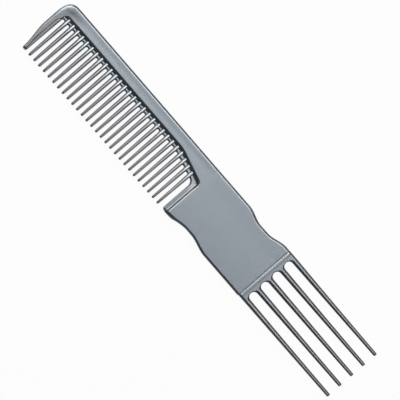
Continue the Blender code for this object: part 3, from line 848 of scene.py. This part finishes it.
def fine_tooth(number, node):
    """A fine tooth: roof-like sections along a narrow crest, with rounded ends and a nose on the web.

    Its width falls evenly from the root to the tip, and its crest widens in an S towards the nose.
    """
    x = tooth_middle(node)
    ridge = x + TOOTH_CREST_SHIFT
    nose = float(foot_line(x)) + TOOTH_NOSE_OVER_FOOT
    root = float(root_line(x))
    y = np.linspace(Y_TIPS - TOOTH_TIP_REACH + TOOTH_TIP_LENGTH, nose - TOOTH_NOSE_LENGTH, TOOTH_POINTS)
    taper = np.clip((root - y) / (root - Y_TIPS), 0, 1)
    half = TOOTH_ROOT_HALF_WIDTH + (TOOTH_TIP_HALF_WIDTH - TOOTH_ROOT_HALF_WIDTH) * taper
    half = half - TOOTH_NOSE_SLIM * smooth_rise((y - root) / (nose - root))
    to_nose = smooth_rise((y - root + TOOTH_NOSE_CREST_RUN) / (nose - root + TOOTH_NOSE_CREST_RUN))
    crest_half = TOOTH_CREST_HALF + (TOOTH_NOSE_CREST_HALF - TOOTH_CREST_HALF) * to_nose
    angle = np.linspace(0, math.pi, TOOTH_END_POINTS)[1:-1]
    cosine, sine = superellipse(angle, TOOTH_TIP_SQUARENESS)
    ends = []
    for end, reach in ((-1, TOOTH_NOSE_LENGTH), (0, -TOOTH_TIP_LENGTH)):
        side = math.copysign(1, reach)
        width, flat = half[end], crest_half[end]
        path = np.stack([x + side * width * cosine, y[end] + reach * sine], 1)
        core = np.stack([ridge + side * flat * cosine, y[end] + side * flat * sine], 1)
        ends.append(stretch(path, width, (width - flat) * TOOTH_DROP_SHARE, TOOTH_RIM, core))
    right = np.stack([x + half, y], 1)
    left = np.stack([x - half, y], 1)[::-1]
    right_core = np.stack([ridge + crest_half, y], 1)
    left_core = np.stack([ridge - crest_half, y], 1)[::-1]
    drop = (half - crest_half) * TOOTH_DROP_SHARE
    outline = join([
        stretch(right, half, drop, TOOTH_RIM, right_core),
        ends[0],
        stretch(left, half[::-1], drop[::-1], TOOTH_RIM, left_core),
        ends[1],
    ])
    crest = root - TOOTH_CREST_FROM_ROOT
    piece = plate(f"fine_tooth_{number:02d}", outline, lambda x, y: tooth_height(y, nose, crest))
    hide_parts(node)
    return piece


def superellipse(angle, power):
    """Points on a unit superellipse: cosine and sine, each raised to two over this power."""
    cosine, sine = np.cos(angle), np.sin(angle)
    exponent = 2 / power
    return np.sign(cosine) * np.abs(cosine) ** exponent, np.sign(sine) * np.abs(sine) ** exponent


def fork_height(x, y):
    """Half thickness of the fork: a groove beside the grip, a bead, a trough and the prongs' belly.

    Each goes over into the next in an S, and past the belly the prongs thin with a power of the way.
    """
    run = x - X_PANEL_END
    past_groove = run - FORK_GROOVE_RUN
    bead_rise = smooth_rise(past_groove / FORK_BEAD_RISE)
    bead_fall = smooth_rise((past_groove - FORK_BEAD_RISE) / FORK_BEAD_FALL)
    height = FORK_GROOVE_HALF + (FORK_BEAD_HALF - FORK_GROOVE_HALF) * bead_rise
    height -= (FORK_BEAD_HALF - FORK_TROUGH_HALF) * bead_fall
    belly_run = (run - FORK_ROOT_LENGTH) / PRONG_BELLY_RUN
    height += (PRONG_BELLY_HALF - FORK_TROUGH_HALF) * smooth_rise(belly_run)
    taper = np.clip((run - PRONG_BELLY_RUN) / (X_FORK_TIP - X_PANEL_END - PRONG_BELLY_RUN), 0, 1)
    return height - (PRONG_BELLY_HALF - PRONG_TIP_HALF) * taper ** PRONG_TAPER_POWER


def lifting_fork():
    """The strip beside the grip and the five prongs, as one surface with round slot ends.

    A prong's width falls evenly to its tip, with a swell at its root that fades with the square of the
    way, and the slots' shallow rims go over into the prongs' with a power of the way round.
    """
    middles = sorted((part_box(node)[0].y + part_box(node)[1].y) / 2 for node in PRONGS)
    pitch = middles[1] - middles[0]
    slot_radius = pitch / 2 - PRONG_ROOT_HALF_WIDTH - PRONG_ROOT_SWELL / 2
    x_straight = X_SLOT_END + slot_radius
    x_round = X_FORK_TIP - PRONG_TIP_LENGTH
    run_root = PRONG_ROOT_HALF_WIDTH + PRONG_ROOT_SWELL / 2 - FORK_CREST_HALF
    back = FORK_HIGH.y + PRONG_ROOT_SWELL

    def half_width(x):
        share = np.clip((x - x_straight) / (X_FORK_TIP - x_straight), 0, 1)
        return PRONG_ROOT_HALF_WIDTH + (PRONG_TIP_HALF_WIDTH - PRONG_ROOT_HALF_WIDTH) * share

    def swell(x):
        return PRONG_ROOT_SWELL * (1 - np.clip((x - x_straight) / (X_FORK_TIP - x_straight), 0, 1)) ** 2

    def rimmed(points, run):
        return stretch(points, run, run * PRONG_DROP_SHARE, PRONG_RIM)

    x_start = X_PANEL_END - FORK_HIDDEN
    strip_x = np.linspace(x_start + CORNER_CLEARANCE * run_root, x_straight, STRIP_POINTS)[:-1]
    prong_x = np.linspace(x_straight, x_round, PRONG_POINTS)
    parts = [
        rimmed(np.array([[x_start, FORK_LOW.y]]), run_root),
        rimmed(along_x(strip_x, lambda x: FORK_LOW.y), run_root),
    ]
    for number, middle in enumerate(middles):
        near = along_x(prong_x, lambda x: middle - half_width(x))
        far = along_x(prong_x[::-1], lambda x: middle + half_width(x) + swell(x))
        run = half_width(prong_x) + swell(prong_x) / 2 - FORK_CREST_HALF
        angle = np.linspace(-math.pi / 2, math.pi / 2, PRONG_TIP_POINTS)[1:-1]
        cosine, sine = superellipse(angle, PRONG_TIP_SQUARENESS)
        tip_half = half_width(x_round)
        tip = np.stack([x_round + PRONG_TIP_LENGTH * cosine, middle + tip_half * sine], 1)
        crest = FORK_CREST_HALF * np.stack([np.cos(angle), np.sin(angle)], 1)
        tip_core = np.array([x_round, middle]) + crest
        parts += [
            rimmed(near, run),
            stretch(tip, tip_half, run[-1] * PRONG_DROP_SHARE, PRONG_RIM, tip_core),
            rimmed(far, run[::-1]),
        ]
        if number < len(middles) - 1:
            centre = (x_straight, middle + (pitch + PRONG_ROOT_SWELL) / 2)
            slot = arc(centre, slot_radius, 270, 90, SLOT_STEPS)[1:-1]
            beside = ((slot[:, 1] - centre[1]) / slot_radius) ** SLOT_BLEND_POWER
            slot_run = SLOT_RUN + (run_root - SLOT_RUN) * beside
            slot_drop = slot_run * (SLOT_DROP_SHARE + (PRONG_DROP_SHARE - SLOT_DROP_SHARE) * beside)
            slot_rim = SLOT_RIM + (PRONG_RIM - SLOT_RIM) * beside[:, None, None]
            parts.append(stretch(slot, slot_run, slot_drop, slot_rim))
    parts += [
        rimmed(along_x(strip_x[::-1], lambda x: back), run_root),
        rimmed(np.array([[x_start, back]]), run_root),
    ]
    piece = plate("lifting_fork", join(parts), fork_height, grid=FORK_GRID)
    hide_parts("fork_root", *PRONGS)
    return piece


def set_inputs(tree, node, inputs):
    """Gives a node's inputs these values, and links those given as another node's output."""
    for key, value in inputs.items():
        if isinstance(value, bpy.types.NodeSocket):
            tree.links.new(value, node.inputs[key])
        else:
            node.inputs[key].default_value = value


def add_node(tree, kind, inputs):
    """The outputs of a new node with these inputs."""
    node = tree.nodes.new(kind)
    set_inputs(tree, node, inputs)
    return node.outputs


def combined(tree, operation, first, second):
    """Two values or outputs combined by this arithmetic."""
    node = tree.nodes.new("ShaderNodeMath")
    node.operation = operation
    set_inputs(tree, node, {0: first, 1: second})
    return node.outputs[0]


def ranged(tree, source, before, after):
    """An output moved from one range of values to another; each range is its low and high end."""
    return add_node(tree, "ShaderNodeMapRange", {
        "Value": source,
        "From Min": before[0],
        "From Max": before[1],
        "To Min": after[0],
        "To Max": after[1],
    })["Result"]


def pearl_plastic():
    """Pearl grey moulded plastic: slow swirls of pigment, fine flakes, faint rubbing and a soft skin.

    The teeth, guard and prongs are painted greyer: painted reflection of the neutral lamps on their
    sides.
    """
    material = bpy.data.materials.new("pearl_plastic")
    material.use_nodes = True
    tree = material.node_tree
    place = tree.nodes.new("ShaderNodeTexCoord").outputs["Object"]
    rub_place = add_node(tree, "ShaderNodeMapping", {"Vector": place, "Scale": RUB_STRETCH})["Vector"]
    swirl = add_node(tree, "ShaderNodeTexNoise", {"Vector": place, **SWIRL})["Fac"]
    flake = add_node(tree, "ShaderNodeTexNoise", {"Vector": place, **FLAKE})["Fac"]
    rub = add_node(tree, "ShaderNodeTexNoise", {"Vector": rub_place, **RUB})["Fac"]
    skin = add_node(tree, "ShaderNodeTexNoise", {"Vector": place, **SKIN})["Fac"]

    # Painted reflection: teeth, guard and prongs get a greyer tone in place of the lamps' neutral gleam
    # on their slopes.
    axes = add_node(tree, "ShaderNodeSeparateXYZ", {0: place})
    below_root = ranged(tree, axes["Y"], (Y_ROOT + THIN_START - THIN_FADE, Y_ROOT + THIN_START), (1, 0))
    before_grip = ranged(tree, axes["X"], (X_SHOULDER, X_PANEL_LEFT), (1, 0))
    on_prongs = ranged(tree, axes["X"], (X_SLOT_END, X_SLOT_END + THIN_FADE), (0, 1))
    thin = combined(tree, "MAXIMUM", combined(tree, "MULTIPLY", below_root, before_grip), on_prongs)
    tone = tree.nodes.new("ShaderNodeMix")
    tone.data_type = "RGBA"
    set_inputs(tree, tone, {"A": PEARL_GREY, "B": REFLECTION_GREY, "Factor": thin})

    swirled = ranged(tree, swirl, (0, 1), (1 - SWIRL_DEPTH, 1 + SWIRL_DEPTH))
    flaked = ranged(tree, flake, FLAKE_SPAN, (1 - FLAKE_DEPTH, 1 + FLAKE_DEPTH))
    sparkle = tree.nodes.new("ShaderNodeVectorMath")
    sparkle.operation = "SCALE"
    set_inputs(tree, sparkle, {
        "Vector": tone.outputs["Result"],
        "Scale": combined(tree, "MULTIPLY", swirled, flaked),
    })
    rubbed = ranged(tree, rub, (0, 1), (PEARL_ROUGHNESS - RUB_DEPTH, PEARL_ROUGHNESS + RUB_DEPTH))
    bump = add_node(tree, "ShaderNodeBump", {
        "Strength": SKIN_STRENGTH,
        "Distance": SKIN_DEPTH,
        "Height": skin,
    })
    set_inputs(tree, tree.nodes["Principled BSDF"], {
        "Base Color": sparkle.outputs["Vector"],
        "Metallic": PEARL_METALLIC,
        "Roughness": rubbed,
        "Coat Weight": COAT_WEIGHT,
        "Coat Roughness": COAT_ROUGHNESS,
        "Normal": bump["Normal"],
    })
    return material


def pale_floor():
    """A round pale floor with a low rim, white to camera, gloss and glass, that keeps a faint shadow."""
    turn = np.linspace(0, 2 * math.pi, FLOOR_POINTS + 1)[:-1]
    circle = np.stack([np.cos(turn), np.sin(turn), np.zeros_like(turn)], 1) * FLOOR_RADIUS
    rings = np.stack([circle * 0, circle, circle + np.array([0, 0, BACKDROP_HEIGHT])])
    mesh = bpy.data.meshes.new("pale_floor")
    mesh.from_pydata(rings.reshape(-1, 3).tolist(), [], ring_faces(*rings.shape[:2]))
    floor = bpy.data.objects.new("pale_floor", mesh)
    bpy.context.scene.collection.objects.link(floor)
    material = bpy.data.materials.new("pale_floor")
    material.use_nodes = True
    tree = material.node_tree
    tree.nodes.clear()
    rays = tree.nodes.new("ShaderNodeLightPath").outputs
    seen = combined(tree, "MAXIMUM", rays["Is Camera Ray"], rays["Is Glossy Ray"])
    seen = combined(tree, "MAXIMUM", seen, rays["Is Transmission Ray"])
    share = combined(tree, "MULTIPLY", seen, FLOOR_WHITE_SHARE)
    paint = add_node(tree, "ShaderNodeBsdfDiffuse", {"Color": FLOOR_PAINT})
    white = add_node(tree, "ShaderNodeEmission", {})
    mix = add_node(tree, "ShaderNodeMixShader", {"Fac": share, 1: paint[0], 2: white[0]})
    add_node(tree, "ShaderNodeOutputMaterial", {"Surface": mix[0]})
    mesh.materials.append(material)


def softbox(name, azimuth, elevation, distance, size, level, tint):
    """A square area light that faces the comb from this direction, in degrees; level 1 looks white."""
    light = bpy.data.lights.new(name, "AREA")
    light.shape = "SQUARE"
    light.size = size
    light.energy = math.pi * size ** 2 * level
    light.color = tint
    lamp = bpy.data.objects.new(name, light)
    turn, rise = math.radians(azimuth), math.radians(elevation)
    level_share = math.cos(rise)
    direction = Vector((level_share * math.cos(turn), level_share * math.sin(turn), math.sin(rise)))
    lamp.location = direction * distance
    lamp.rotation_euler = direction.to_track_quat("Z", "Y").to_euler()
    bpy.context.scene.collection.objects.link(lamp)


def studio():
    """Plain soft studio light, a pale floor and a camera straight above, turned as in the photo."""
    scene = bpy.context.scene
    scene.view_settings.view_transform = "Standard"
    world = bpy.data.worlds.new("studio")
    world.use_nodes = True
    background = world.node_tree.nodes["Background"]
    set_inputs(world.node_tree, background, {"Color": WORLD_TINT, "Strength": WORLD_LEVEL})
    scene.world = world
    pale_floor()
    softbox("top_softbox", **TOP_LIGHT)
    softbox("key_softbox", **KEY_LIGHT)
    softbox("side_softbox", **SIDE_LIGHT)
    camera = bpy.data.cameras.new("camera")
    camera.lens = camera.sensor_width * VIEW_DISTANCE / VIEW_WIDTH
    camera.clip_start = VIEW_NEAREST
    camera.clip_end = VIEW_FARTHEST
    stand = bpy.data.objects.new("camera", camera)
    stand.location = (VIEW_CENTRE_X, 0, MIDDLE_Z + VIEW_DISTANCE)
    stand.rotation_euler = (0, 0, VIEW_ROLL)
    scene.collection.objects.link(stand)
    scene.camera = stand


studio()
pieces = [comb_body(), tooth_web(), lifting_fork()]
pieces += [fine_tooth(number + 1, node) for number, node in enumerate(TEETH)]
finish = pearl_plastic()
for piece in pieces:
    piece.data.materials.append(finish)
    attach(piece, "root")

bpy.context.view_layer.update()
